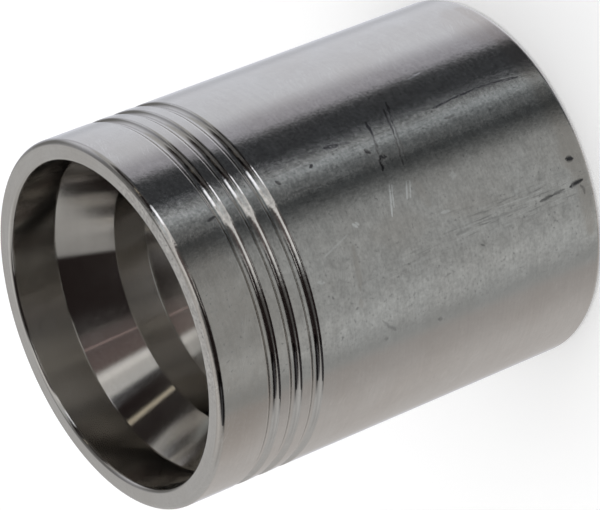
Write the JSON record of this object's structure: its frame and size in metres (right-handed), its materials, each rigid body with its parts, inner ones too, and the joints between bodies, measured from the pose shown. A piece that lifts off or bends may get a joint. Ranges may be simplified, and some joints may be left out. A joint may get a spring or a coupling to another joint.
{
  "type": "crimp hose ferrule",
  "caption": "Round turned steel sleeve crimped over a hydraulic hose end, with ring grooves outside, gripping teeth inside and a locking collar at the far end.",
  "frame": {"origin": "centre of the collar end's face, which the sleeve stands on", "axes": "+Z along the sleeve's axis, from the collar end towards the open hose mouth"},
  "size_m": [0.04, 0.04, 0.049],
  "materials": {
    "turned_steel": "bright turned steel with fine lathe marks, light scratches and a few small pits"
  },
  "bodies": {
    "root": {"ferrule_sleeve": "turned_steel"}
  },
  "joints": []
}
